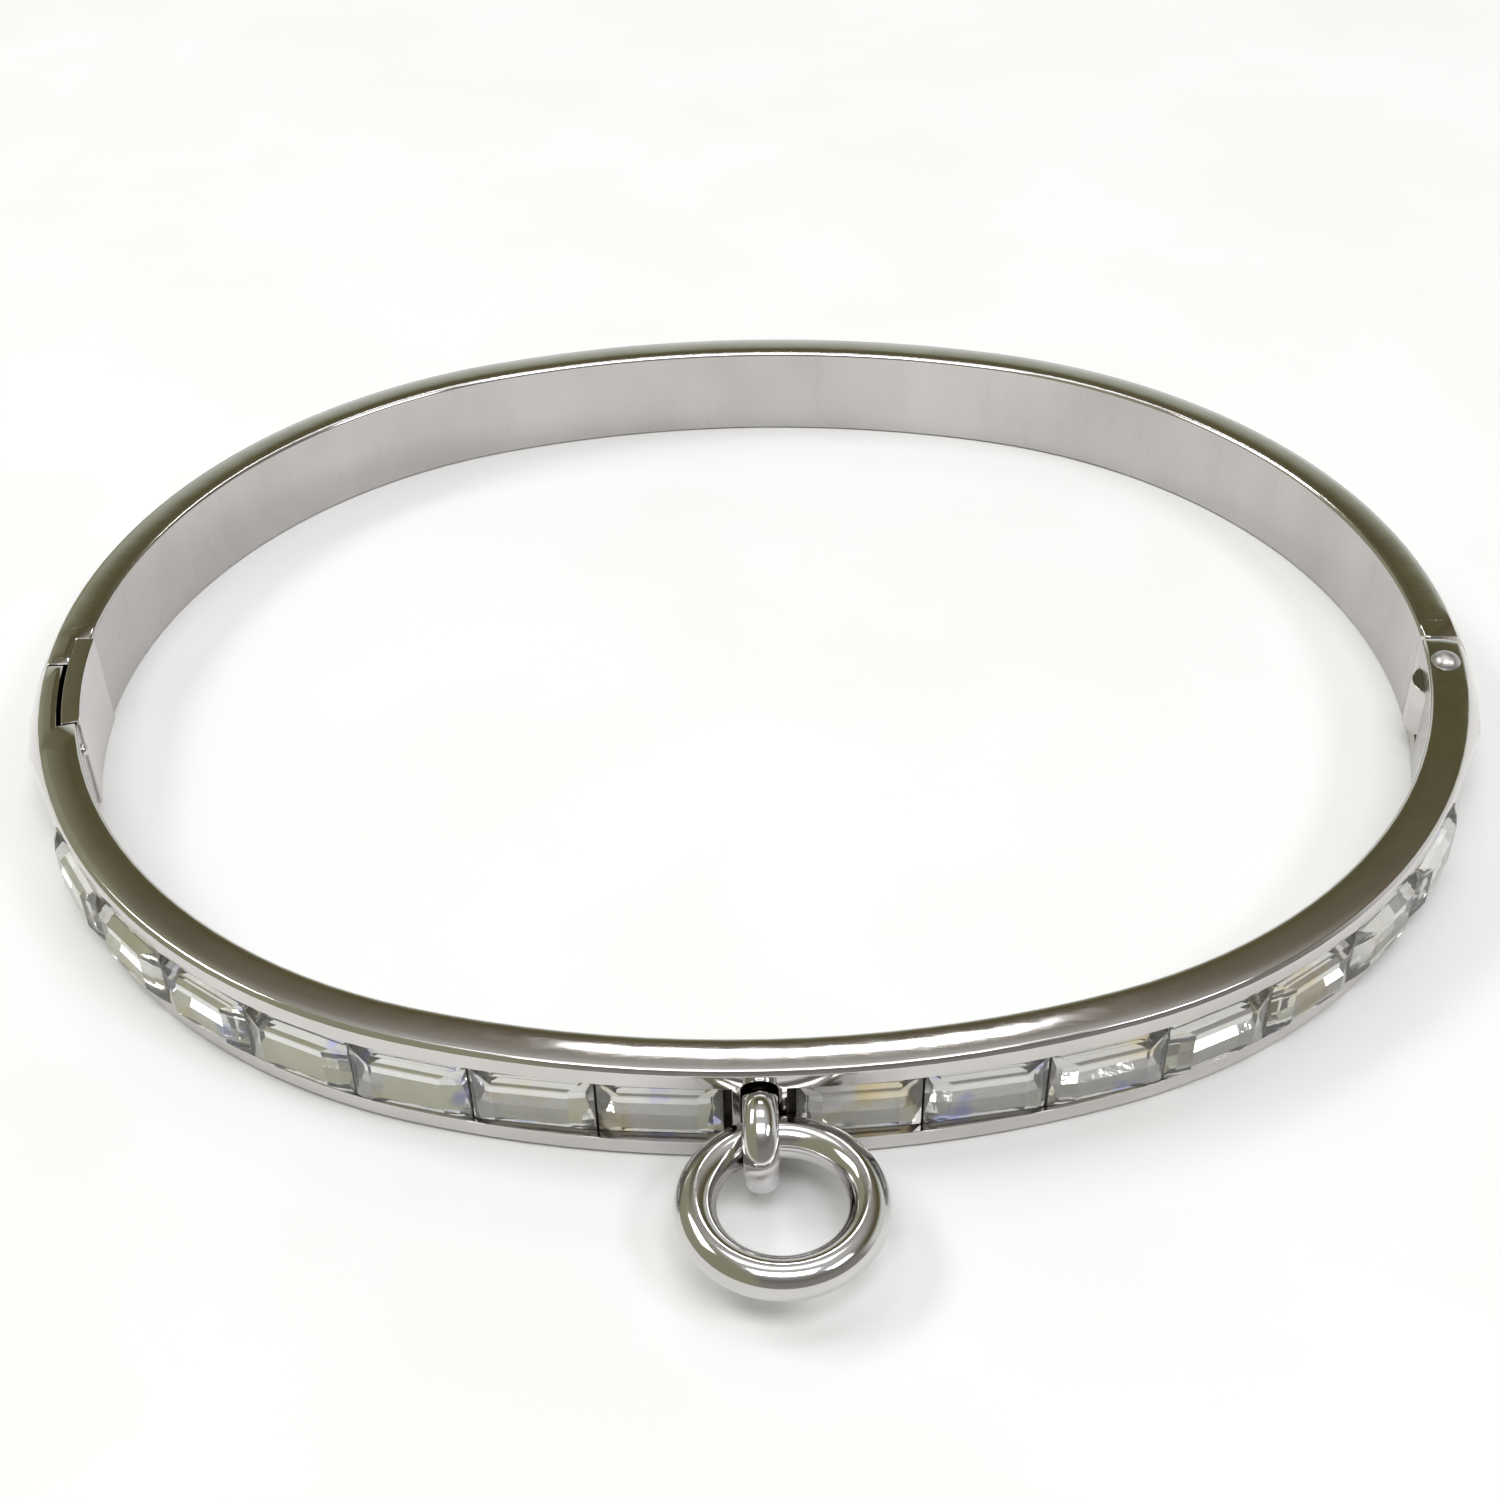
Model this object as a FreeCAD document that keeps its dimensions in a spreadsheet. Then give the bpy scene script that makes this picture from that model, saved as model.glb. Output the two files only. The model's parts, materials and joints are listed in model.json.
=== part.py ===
import FreeCAD, Part
import math
import os
import Sketcher
from FreeCAD import Placement, Rotation, Vector

# Hinged oval bangle bracelet: two half bands, seven channel-set baguette crystals on each side
# of the front, and a drop ring in a fixed eye between them. Millimetres.
# +X is right (hinge), -X is left (clasp), -Y is the front, +Z is up.
# The origin is the middle of the oval, on the surface that the bangle lies on.

SIZES = {
    # the oval that the inner walls follow
    "inner_length": 62.8,
    "inner_width": 52.25,
    "side_radius": 46.1,
    # the band's section: flat inside, flat above and below, domed outside
    "band_height": 4.9,
    "flat_width": 1.69,
    "dome": 0.91,
    "edge_bevel": 0.12,
    # front rails above and below the crystals, ground flat where the plain ends are domed
    "rail_height": 0.9,
    "rail_bulge": 0.16,
    "rail_overrun": 0.3,
    # crystals, and the flatter oval that their tables lie on
    "crystal_length": 4.85,
    "crystal_gap": 0.13,
    "crystal_side_gap": 0.05,
    "crown_depth": 0.44,
    "crown_end_inset": 0.95,
    "crown_side_inset": 0.5,
    "girdle_depth": 0.16,
    "pavilion_depth": 0.72,
    "pavilion_end_inset": 1.2,
    "pavilion_side_inset": 0.85,
    "glue_line": 0.03,
    "table_front": 0.1,
    "table_side": 0.6,
    "table_radius": 58.4,
    # pocket in the middle of the front, between its two divider walls; the whole front row of
    # crystals, pocket and eye is set a little to the left of the oval's middle
    "front_shift": -0.3,
    "pocket_width": 1.44,
    "pocket_height": 3.9,
    "pocket_corner": 0.5,
    "divider_wall": 0.34,
    "divider_gap": 0.3,
    "channel_end_gap": 0.1,
    # eye and drop ring
    "eye_width": 1.36,
    "eye_bore": 1.02,
    "eye_wall": 1.03,
    "eye_reach": 1.19,
    "eye_drop": 0.05,
    "stem_radius": 0.5,
    "ring_radius": 3.21,
    "ring_wire": 0.8,
    "ring_turn": 13.0,
    "ring_slack": 0.1,
    "ring_rail_gap": 0.08,
    # hinge at the right
    "pin_y": -3.85,
    "pin_radius": 0.5,
    "pin_clearance": 0.04,
    "pin_inset": 0.85,
    "pin_head_radius": 0.68,
    "pin_head_height": 0.42,
    "shoulder_reach": 1.83,
    "shoulder_gap": 0.08,
    "shoulder_corner": 0.45,
    "knuckle_height": 2.5,
    "knuckle_radius": 1.3,
    "knuckle_gap": 0.1,
    "neck_width": 1.45,
    "neck_root": 1.6,
    # clasp at the left
    "lap_joint_y": -1.8,
    "lap_length": 4.2,
    "lap_gap": 0.1,
    "tongue_thickness": 0.72,
    "tongue_proud": 0.12,
    "tongue_root": 2.1,
    "slit": 0.2,
    "bead_radius": 0.35,
    "bead_proud": 0.13,
    "rivet_y": -6.85,
    "rivet_drop": 1.0,
    "rivet_shank": 0.18,
    "rivet_head": 0.3,
    "rivet_length": 0.8,
}
CRYSTALS_PER_SIDE = 7

doc = FreeCAD.newDocument("bangle")
sheet = doc.addObject("Spreadsheet::Sheet", "dims")


def put_cell(row, alias, value):
    """One named size: its name in column A, its plain number in column B."""
    sheet.set("A%d" % row, alias)
    sheet.set("B%d" % row, "%.6f" % value)
    sheet.setAlias("B%d" % row, alias)


for row, (alias, value) in enumerate(SIZES.items(), start=1):
    put_cell(row, alias, value)
doc.recompute()


def size(alias):
    return float(sheet.get(alias))


# ---------------------------------------------------------------- ovals in plan

class Oval:
    """Four tangent arcs: an end arc on each side of X, a side arc at the front and the back."""

    def __init__(self, half_length, half_width, side_radius):
        self.half_length = half_length
        self.half_width = half_width
        self.side_radius = side_radius
        self.end_radius = (2 * side_radius * half_width - half_length ** 2 - half_width ** 2) \
            / (2 * (side_radius - half_length))
        self.end_x = half_length - self.end_radius
        self.side_y = side_radius - half_width
        self.join = math.atan2(self.end_x, self.side_y)

    def grown(self, distance):
        return Oval(self.half_length + distance, self.half_width + distance, self.side_radius + distance)

    def at(self, run):
        """Point and outward direction at a run from the front centre, positive to the right."""
        side = math.copysign(1.0, run)
        run = abs(run)
        straight_on = self.side_radius * self.join
        if run <= straight_on:
            angle = run / self.side_radius
            point = (self.side_radius * math.sin(angle), self.side_y - self.side_radius * math.cos(angle))
        else:
            angle = self.join + (run - straight_on) / self.end_radius
            point = (self.end_x + self.end_radius * math.sin(angle), -self.end_radius * math.cos(angle))
        return Vector(side * point[0], point[1], 0), Vector(side * math.sin(angle), -math.cos(angle), 0)

    def end_wall_x(self, y):
        """How far out the end arc lies at this y."""
        return self.end_x + math.sqrt(self.end_radius ** 2 - y ** 2)


height = size("band_height")
middle = height / 2
inner = Oval(size("inner_length") / 2, size("inner_width") / 2, size("side_radius"))
flat_edge = inner.grown(size("flat_width"))
rail_face = flat_edge.grown(size("rail_bulge"))
table = Oval(flat_edge.half_length + size("table_side"), flat_edge.half_width + size("table_front"),
             size("table_radius"))
crystal_depth = size("crown_depth") + size("girdle_depth") + size("pavilion_depth")
crystal_width = height - 2 * (size("rail_height") + size("crystal_side_gap"))
table_sink = table.end_radius - math.sqrt(table.end_radius ** 2 - (size("crystal_length") / 4) ** 2)
channel_floor = table.grown(-crystal_depth - size("glue_line") - table_sink)
far = inner.half_length          # how far a cutting outline runs past the band

# ---------------------------------------------------------------- helpers

def new_body(label):
    body = doc.addObject("PartDesign::Body", label)
    body.Label = label
    return body


def origin_plane(body, role):
    return next(feature for feature in body.Origin.OriginFeatures if feature.Role == role)


def new_sketch(body, name, role="XY_Plane", place=None):
    """A sketch on one of its body's origin planes, moved to a placement of its own if given."""
    plane = origin_plane(body, role)
    sketch = body.newObject("Sketcher::SketchObject", name)
    sketch.AttachmentSupport = [(plane, "")]
    sketch.MapMode = "FlatFace"
    if place is not None:
        sketch.AttachmentOffset = plane.Placement.inverse() * place
    return sketch


def upright(centre, heading):
    """Placement of an upright sketch: its x axis leaves the centre at this heading, its y is up."""
    return Placement(centre, Rotation(Vector(0, 0, 1), math.degrees(heading))
                     * Rotation(Vector(1, 0, 0), 90))


def bind(sketch, name, constraint, expression):
    """Add a named dimension and tie it to the sheet."""
    index = sketch.addConstraint(constraint)
    sketch.renameConstraint(index, name)
    sketch.setExpression("Constraints." + name, expression)


def line(start, end):
    return Part.LineSegment(Vector(start[0], start[1], 0), Vector(end[0], end[1], 0))


def arc(start, through, end):
    return Part.Arc(Vector(start[0], start[1], 0), Vector(through[0], through[1], 0),
                    Vector(end[0], end[1], 0))


def outline(sketch, edges):
    """A closed outline of straight and round edges, given in order."""
    for edge in edges:
        sketch.addGeometry(edge, False)
    return sketch


def rectangle(sketch, left, low, right, high):
    corners = [(left, low), (right, low), (right, high), (left, high)]
    return outline(sketch, [line(corners[i], corners[(i + 1) % 4]) for i in range(4)])


def pad(body, sketch, name, length, midplane=False, reverse=False):
    feature = body.newObject("PartDesign::Pad", name)
    feature.Profile = sketch
    feature.Midplane = midplane
    feature.Reversed = reverse
    feature.Length = 1
    if isinstance(length, str):
        feature.setExpression("Length", length)
    else:
        feature.Length = length
    doc.recompute()
    return feature


def pocket(body, sketch, name, length, reverse=True):
    """Cut a pocket and make sure that it really took metal away."""
    before = body.Shape.Volume
    feature = body.newObject("PartDesign::Pocket", name)
    feature.Profile = sketch
    feature.Reversed = reverse
    feature.Length = 1
    if isinstance(length, str):
        feature.setExpression("Length", length)
    else:
        feature.Length = length
    doc.recompute()
    if not body.Shape.Volume < before - 1e-4:
        raise RuntimeError("pocket %s cut nothing" % name)
    return feature


def plan(level):
    """Placement of a plan sketch at this height."""
    return Placement(Vector(0, 0, level), Rotation())


# ---------------------------------------------------------------- bands

def band_arc(body, name, centre, heading, radius, span):
    """One arc of the band: its section, turned about the arc's own upright axis."""
    sketch = new_sketch(body, name + "_section", "XZ_Plane", upright(centre, heading))
    bevel = size("edge_bevel")
    flat = radius + size("flat_width")
    outline(sketch, [
        line((radius, bevel), (radius + bevel, 0)),
        line((radius + bevel, 0), (flat, 0)),
        arc((flat, 0), (flat + size("dome"), middle), (flat, height)),
        line((flat, height), (radius + bevel, height)),
        line((radius + bevel, height), (radius, height - bevel)),
        line((radius, height - bevel), (radius, bevel)),
    ])
    turn = body.newObject("PartDesign::Revolution", name)
    turn.Profile = sketch
    turn.ReferenceAxis = (sketch, ["V_Axis"])
    turn.Midplane = True
    turn.Angle = math.degrees(span)
    doc.recompute()


def full_band(body):
    """The whole oval before it is cut: front and back arcs, then the two end arcs."""
    side_span = 2 * inner.join
    end_span = math.pi - side_span
    band_arc(body, "front_arc", Vector(0, inner.side_y, 0), -math.pi / 2, inner.side_radius, side_span)
    band_arc(body, "right_arc", Vector(inner.end_x, 0, 0), 0.0, inner.end_radius, end_span)
    band_arc(body, "back_arc", Vector(0, -inner.side_y, 0), math.pi / 2, inner.side_radius, side_span)
    band_arc(body, "left_arc", Vector(-inner.end_x, 0, 0), math.pi, inner.end_radius, end_span)


# hinge and clasp stations in plan
pin = Vector(inner.end_wall_x(size("pin_y")) + size("pin_inset"), size("pin_y"), 0)
hinge_joint_y = pin.y + size("shoulder_reach")
ear_radius = size("shoulder_reach") - size("shoulder_gap")
lap_joint_y = size("lap_joint_y")


def lap_sector(sketch, from_y, to_y, inside, outside):
    """A strip along the left inner wall, between two heights of y and two offsets of the wall."""
    centre_x = -inner.end_x

    def spot(y, offset):
        angle = math.asin(y / inner.end_radius)
        reach = inner.end_radius + offset
        return (centre_x - reach * math.cos(angle), reach * math.sin(angle))

    mid_y = (from_y + to_y) / 2
    return outline(sketch, [
        arc(spot(from_y, inside), spot(mid_y, inside), spot(to_y, inside)),
        line(spot(to_y, inside), spot(to_y, outside)),
        arc(spot(to_y, outside), spot(mid_y, outside), spot(from_y, outside)),
        line(spot(from_y, outside), spot(from_y, inside)),
    ])


def heading_at(run):
    """Angle from the front at which the table oval faces at the end of this run."""
    out = table.at(run)[1]
    return math.atan2(out.x, -out.y)


def cut_outside(body, name, side, oval, start, end_run, leaving, level, length):
    """Cut away what lies outside an oval, on one side of the front row, up to the end of a run.

    The cut's last edge leaves the oval at the leaving angle: 0 is straight out, a right angle
    follows the oval's tangent.
    """
    mirror = 1 if side == "right" else -1
    start_x = start + mirror * size("front_shift")
    end_angle = heading_at(end_run + mirror * size("front_shift"))

    def on_side(angle):
        return (oval.side_radius * math.sin(angle), oval.side_y - oval.side_radius * math.cos(angle))

    def on_end(angle):
        return (oval.end_x + oval.end_radius * math.sin(angle), -oval.end_radius * math.cos(angle))

    start_angle = math.asin(start_x / oval.side_radius)
    last = on_end(end_angle)
    outside = (last[0] + 2 * far * math.sin(end_angle + leaving),
               last[1] - 2 * far * math.cos(end_angle + leaving))
    corners = [last, outside, (outside[0], -3 * far), (start_x, -3 * far), on_side(start_angle)]
    edges = [
        (on_side(start_angle), on_side((start_angle + oval.join) / 2), on_side(oval.join)),
        (on_side(oval.join), on_end((oval.join + end_angle) / 2), last),
    ]
    edges += [(corners[i], corners[i + 1]) for i in range(4)]
    sketch = new_sketch(body, "%s_%s_plan" % (name, side), "XY_Plane", plan(level))
    for edge in edges:
        flipped = [(mirror * x, y) for x, y in edge]
        sketch.addGeometry(arc(*flipped) if len(edge) == 3 else line(*flipped), False)
    pocket(body, sketch, "%s_%s" % (name, side), length)


def channel_run(count):
    """Run along the table oval from the front centre to the end of this many crystals."""
    first = size("pocket_width") / 2 + size("divider_wall") + size("divider_gap")
    return first + count * (size("crystal_length") + size("crystal_gap"))


def make_front_half():
    body = new_body("front_half")
    full_band(body)
    # saw away the back; at the hinge the ear's outer corner is rounded about the pin
    left_top = (-2 * far, lap_joint_y)
    turn = math.radians(45)
    cut = new_sketch(body, "saw_plan")
    joint = hinge_joint_y - size("shoulder_gap")
    outline(cut, [
        line(left_top, (0, lap_joint_y)),
        line((0, lap_joint_y), (0, joint)),
        line((0, joint), (pin.x, joint)),
        arc((pin.x, joint), (pin.x + ear_radius * math.sin(turn), pin.y + ear_radius * math.cos(turn)),
            (pin.x + ear_radius, pin.y)),
        line((pin.x + ear_radius, pin.y), (2 * far, pin.y)),
        line((2 * far, pin.y), (2 * far, 2 * far)),
        line((2 * far, 2 * far), (-2 * far, 2 * far)),
        line((-2 * far, 2 * far), left_top),
    ])
    pocket(body, cut, "saw", height)
    # grind the rails flat as far as the crystals go, then cut a channel on each side of the eye
    channel_end = channel_run(CRYSTALS_PER_SIDE) + size("channel_end_gap")
    channel_start = size("pocket_width") / 2 + size("divider_wall")
    for side in ("left", "right"):
        cut_outside(body, "grind", side, rail_face, 0.0, channel_end + size("rail_overrun"),
                    math.pi / 2, 0.0, "dims.band_height")
        cut_outside(body, "channel", side, channel_floor, channel_start, channel_end,
                    0.0, size("rail_height"), "dims.band_height - 2 * dims.rail_height")
    cut_eye_pocket(body)
    # lap recess for the clasp tongue, and the dimple that its bead snaps into
    lap = new_sketch(body, "lap_plan")
    tip_y = lap_joint_y - size("lap_length") - size("lap_gap")
    lap_sector(lap, tip_y, 0.0, -size("flat_width"), size("tongue_thickness") + size("slit"))
    pocket(body, lap, "lap", height)
    dimple = body.newObject("PartDesign::SubtractiveSphere", "dimple")
    dimple.Radius = size("bead_radius") + size("bead_proud") / 2
    dimple.Placement = Placement(bead_centre(), Rotation())
    rivet_hole = body.newObject("PartDesign::SubtractiveCylinder", "rivet_hole")
    rivet_hole.Radius = size("rivet_shank")
    rivet_hole.Height = size("rivet_length") + size("flat_width")
    rivet_hole.Placement = rivet_place() * Placement(Vector(0, 0, -size("flat_width")), Rotation())
    doc.recompute()
    # slot between the two ears, and the pin's hole through them
    slot_height = size("knuckle_height") + size("knuckle_gap")
    slot_end = pin.y - size("knuckle_radius") - size("knuckle_gap")
    slot = new_sketch(body, "slot_plan", "XY_Plane", plan(middle - slot_height / 2))
    rectangle(slot, inner.end_x + inner.end_radius / 2, slot_end, 2 * far, hinge_joint_y)
    pocket(body, slot, "slot", "dims.knuckle_height + dims.knuckle_gap")
    hole = new_sketch(body, "pin_plan")
    hole.addGeometry(Part.Circle(pin, Vector(0, 0, 1), size("pin_radius")), False)
    bind(hole, "pin_hole", Sketcher.Constraint("Radius", 0, size("pin_radius")), "dims.pin_radius")
    pocket(body, hole, "pin_hole", "dims.band_height")
    return body


def cut_eye_pocket(body):
    """Round-cornered pocket in the middle of the front: taller than the channel and as deep."""
    half = size("pocket_width") / 2
    low, high = middle - size("pocket_height") / 2, middle + size("pocket_height") / 2
    corner = size("pocket_corner")
    bend = corner * (1 - math.sqrt(0.5))
    sketch = new_sketch(body, "pocket_face", "XZ_Plane",
                        upright(Vector(size("front_shift"), -channel_floor.half_width, 0), 0.0))
    outline(sketch, [
        line((-half + corner, low), (half - corner, low)),
        arc((half - corner, low), (half - bend, low + bend), (half, low + corner)),
        line((half, low + corner), (half, high - corner)),
        arc((half, high - corner), (half - bend, high - bend), (half - corner, high)),
        line((half - corner, high), (-half + corner, high)),
        arc((-half + corner, high), (-half + bend, high - bend), (-half, high - corner)),
        line((-half, high - corner), (-half, low + corner)),
        arc((-half, low + corner), (-half + bend, low + bend), (-half + corner, low)),
    ])
    pocket(body, sketch, "eye_pocket", far)


def make_rear_half():
    body = new_body("rear_half")
    full_band(body)
    saw = new_sketch(body, "saw_plan")
    outline(saw, [
        line((-2 * far, lap_joint_y + size("lap_gap")), (-2 * far, -2 * far)),
        line((-2 * far, -2 * far), (2 * far, -2 * far)),
        line((2 * far, -2 * far), (2 * far, hinge_joint_y)),
        line((2 * far, hinge_joint_y), (0, hinge_joint_y)),
        line((0, hinge_joint_y), (0, lap_joint_y + size("lap_gap"))),
        line((0, lap_joint_y + size("lap_gap")), (-2 * far, lap_joint_y + size("lap_gap"))),
    ])
    pocket(body, saw, "saw", height)
    # round the shoulder's inner corner beside the hinge
    corner = size("shoulder_corner")
    wall_x = inner.end_wall_x(hinge_joint_y)
    nick = new_sketch(body, "corner_plan")
    bend = corner * (1 - math.sqrt(0.5))
    outline(nick, [
        arc((wall_x, hinge_joint_y + corner), (wall_x + bend, hinge_joint_y + bend),
            (wall_x + corner, hinge_joint_y)),
        line((wall_x + corner, hinge_joint_y), (wall_x - corner, hinge_joint_y - corner)),
        line((wall_x - corner, hinge_joint_y - corner), (wall_x - corner, hinge_joint_y + corner)),
        line((wall_x - corner, hinge_joint_y + corner), (wall_x, hinge_joint_y + corner)),
    ])
    pocket(body, nick, "corner", height)
    socket = new_sketch(body, "socket_plan", "XY_Plane", plan(middle - size("knuckle_height") / 2))
    left, right = neck_sides()
    rectangle(socket, left, hinge_joint_y - size("neck_root"), right, hinge_joint_y + size("neck_root"))
    pocket(body, socket, "socket", "dims.knuckle_height")
    rebate = new_sketch(body, "rebate_plan")
    lap_sector(rebate, 2 * lap_joint_y, lap_joint_y + size("tongue_root"), -size("flat_width"),
               size("tongue_thickness"))
    pocket(body, rebate, "rebate", height)
    return body


def neck_sides():
    """Left and right faces of the knuckle's neck, which sits across the middle of the band."""
    thick = inner.end_wall_x(hinge_joint_y) + (size("flat_width") + size("dome")) / 2
    return thick - size("neck_width") / 2, thick + size("neck_width") / 2


# ---------------------------------------------------------------- hinge

def make_hinge_pin():
    """Pin through both ears: plain shank, round head above, flush below."""
    body = new_body("hinge_pin")
    sketch = new_sketch(body, "pin_section", "XZ_Plane")
    shank, head, rise = size("pin_radius"), size("pin_head_radius"), size("pin_head_height")
    cap_radius = (head ** 2 + rise ** 2) / (2 * rise)
    turn = math.asin(head / cap_radius) / 2
    bend = (cap_radius * math.sin(turn), height + rise - cap_radius * (1 - math.cos(turn)))
    outline(sketch, [
        line((0, 0), (shank, 0)),
        line((shank, 0), (shank, height)),
        line((shank, height), (head, height)),
        arc((head, height), bend, (0, height + rise)),
        line((0, height + rise), (0, 0)),
    ])
    turned = body.newObject("PartDesign::Revolution", "turned_pin")
    turned.Profile = sketch
    turned.ReferenceAxis = (sketch, ["V_Axis"])
    turned.Angle = 360
    doc.recompute()
    body.Placement = Placement(pin, Rotation())
    return body


def make_hinge_knuckle():
    """Barrel round the pin, on a neck that is soldered into the rear half's shoulder."""
    body = new_body("hinge_knuckle")
    left, right = neck_sides()
    bottom = plan(middle - size("knuckle_height") / 2)
    barrel = new_sketch(body, "barrel_plan", "XY_Plane", bottom)
    barrel.addGeometry(Part.Circle(pin, Vector(0, 0, 1), size("knuckle_radius")), False)
    bind(barrel, "barrel", Sketcher.Constraint("Radius", 0, size("knuckle_radius")), "dims.knuckle_radius")
    pad(body, barrel, "barrel", "dims.knuckle_height")
    neck = new_sketch(body, "neck_plan", "XY_Plane", bottom)
    rectangle(neck, left, pin.y, right, hinge_joint_y + size("neck_root"))
    pad(body, neck, "neck", "dims.knuckle_height")
    bore = new_sketch(body, "bore_plan", "XY_Plane", bottom)
    bore.addGeometry(Part.Circle(pin, Vector(0, 0, 1), size("pin_radius")), False)
    bind(bore, "bore", Sketcher.Constraint("Radius", 0, size("pin_radius")),
         "dims.pin_radius + dims.pin_clearance")
    pocket(body, bore, "bore", "dims.knuckle_height")
    return body


# ---------------------------------------------------------------- clasp

def bead_centre():
    """Centre of the snap bead, sunk in the tongue so that only its cap stands out."""
    y = lap_joint_y - size("lap_length") / 2
    angle = math.asin(y / inner.end_radius)
    reach = inner.end_radius + size("tongue_thickness") + size("bead_proud") - size("bead_radius")
    return Vector(-inner.end_x - reach * math.cos(angle), reach * math.sin(angle), middle)


def make_clasp_tongue():
    """Spring tongue: soldered in the rear half's rebate, it slides behind the front half's lap."""
    body = new_body("clasp_tongue")
    sketch = new_sketch(body, "tongue_plan")
    lap_sector(sketch, lap_joint_y - size("lap_length"), lap_joint_y + size("tongue_root"),
               -size("tongue_proud"), size("tongue_thickness"))
    pad(body, sketch, "tongue", "dims.band_height")
    bead = body.newObject("PartDesign::AdditiveSphere", "bead")
    bead.Radius = size("bead_radius")
    bead.Placement = Placement(bead_centre(), Rotation())
    doc.recompute()
    return body


def rivet_place():
    """Where the rivet stands on the inner wall: its axis points out through the band."""
    angle = math.asin(size("rivet_y") / inner.end_radius)
    point = Vector(-inner.end_x - inner.end_radius * math.cos(angle), size("rivet_y"),
                   height - size("rivet_drop"))
    out = Vector(-math.cos(angle), math.sin(angle), 0)
    return Placement(point, Rotation(Vector(0, 0, 1), out))


def make_lap_rivet():
    """Small round-headed rivet in the inner wall, just past the tongue's tip."""
    body = new_body("lap_rivet")
    sketch = new_sketch(body, "rivet_section", "XZ_Plane")
    shank, head = size("rivet_shank"), size("rivet_head")
    diagonal = head * math.sqrt(0.5)
    outline(sketch, [
        line((0, size("rivet_length")), (shank, size("rivet_length"))),
        line((shank, size("rivet_length")), (shank, 0)),
        line((shank, 0), (head, 0)),
        arc((head, 0), (diagonal, -diagonal), (0, -head)),
        line((0, -head), (0, size("rivet_length"))),
    ])
    turned = body.newObject("PartDesign::Revolution", "turned_rivet")
    turned.Profile = sketch
    turned.ReferenceAxis = (sketch, ["V_Axis"])
    turned.Angle = 360
    doc.recompute()
    body.Placement = rivet_place()
    return body


# ---------------------------------------------------------------- eye and ring

eye_centre = Vector(size("front_shift"), -(flat_edge.half_width + size("eye_reach")),
                    middle - size("eye_drop"))


def make_ring_eye():
    """Fixed link in the upright plane, with a stem to the pocket's floor."""
    body = new_body("ring_eye")
    section = new_sketch(body, "eye_section", "XZ_Plane", upright(eye_centre, 0.0))
    bore, wall = size("eye_bore"), size("eye_wall")
    section.addGeometry(Part.Ellipse(Vector(size("eye_width") / 2, bore + wall / 2, 0),
                                     Vector(0, bore + wall, 0), Vector(0, bore + wall / 2, 0)), False)
    turned = body.newObject("PartDesign::Revolution", "eye_link")
    turned.Profile = section
    turned.ReferenceAxis = (section, ["H_Axis"])
    turned.Angle = 360
    doc.recompute()
    floor_y = -channel_floor.half_width
    stem = new_sketch(body, "stem_face", "XZ_Plane", upright(Vector(eye_centre.x, floor_y, eye_centre.z), 0.0))
    stem.addGeometry(Part.Circle(Vector(0, 0, 0), Vector(0, 0, 1), size("stem_radius")), False)
    bind(stem, "stem", Sketcher.Constraint("Radius", 0, size("stem_radius")), "dims.stem_radius")
    link_back = eye_centre.y + bore + wall / 2
    pad(body, stem, "stem", floor_y - link_back)
    return body


ring_turn = math.radians(size("ring_turn"))


def ring_hub():
    """Where the ring's wire passes through the eye: the axis that the ring swings about."""
    free = size("eye_bore") - size("ring_wire") - size("ring_slack")
    behind = size("ring_wire") + size("ring_radius") * (1 - math.cos(ring_turn)) + size("ring_rail_gap")
    y = min(-rail_face.half_width - behind, eye_centre.y + free)
    return Vector(eye_centre.x, y, eye_centre.z - math.sqrt(free ** 2 - (y - eye_centre.y) ** 2))


def make_drop_ring():
    """Round-wire ring, turned a little to the right in the eye, which holds it level."""
    body = new_body("drop_ring")
    section = new_sketch(body, "ring_section", "XZ_Plane")
    section.addGeometry(Part.Circle(Vector(size("ring_radius"), 0, 0), Vector(0, 0, 1), size("ring_wire")),
                        False)
    bind(section, "wire", Sketcher.Constraint("Radius", 0, size("ring_wire")), "dims.ring_wire")
    bind(section, "ring", Sketcher.Constraint("DistanceX", -1, 1, 0, 3, size("ring_radius")),
         "dims.ring_radius")
    section.addConstraint(Sketcher.Constraint("DistanceY", -1, 1, 0, 3, 0.0))
    turned = body.newObject("PartDesign::Revolution", "ring_torus")
    turned.Profile = section
    turned.ReferenceAxis = (section, ["V_Axis"])
    turned.Angle = 360
    doc.recompute()
    radius = size("ring_radius")
    centre = ring_hub() + Vector(radius * math.sin(ring_turn), -radius * math.cos(ring_turn), 0)
    body.Placement = Placement(centre, Rotation())
    return body


# ---------------------------------------------------------------- crystals

def facet_step(body, name, level, base, insets, depth):
    """A four-sided step of a crystal: a rectangle that shrinks by the end and side insets."""
    length, width = base
    end, side = insets
    steps = []
    for tag, at, end_cut, side_cut in (("wide", level, 0, 0), ("narrow", level + depth, end, side)):
        sketch = new_sketch(body, "%s_%s" % (name, tag), "XY_Plane", plan(at))
        rectangle(sketch, end_cut - length / 2, side_cut - width / 2,
                  length / 2 - end_cut, width / 2 - side_cut)
        steps.append(sketch)
    loft = body.newObject("PartDesign::AdditiveLoft", name)
    loft.Profile = steps[0]
    loft.Sections = [steps[1]]
    loft.Ruled = True
    doc.recompute()
    return length - 2 * end, width - 2 * side


def facet_pair(body, name, level, base, insets, depth):
    """Two steps, the first the steeper: four tenths of the insets over half the depth."""
    first = [0.4 * inset for inset in insets]
    second = [0.6 * inset for inset in insets]
    middle_base = facet_step(body, name + "_step", level, base, first, depth / 2)
    facet_step(body, name + "_flat", level + depth / 2, middle_base, second, depth / 2)


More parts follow.
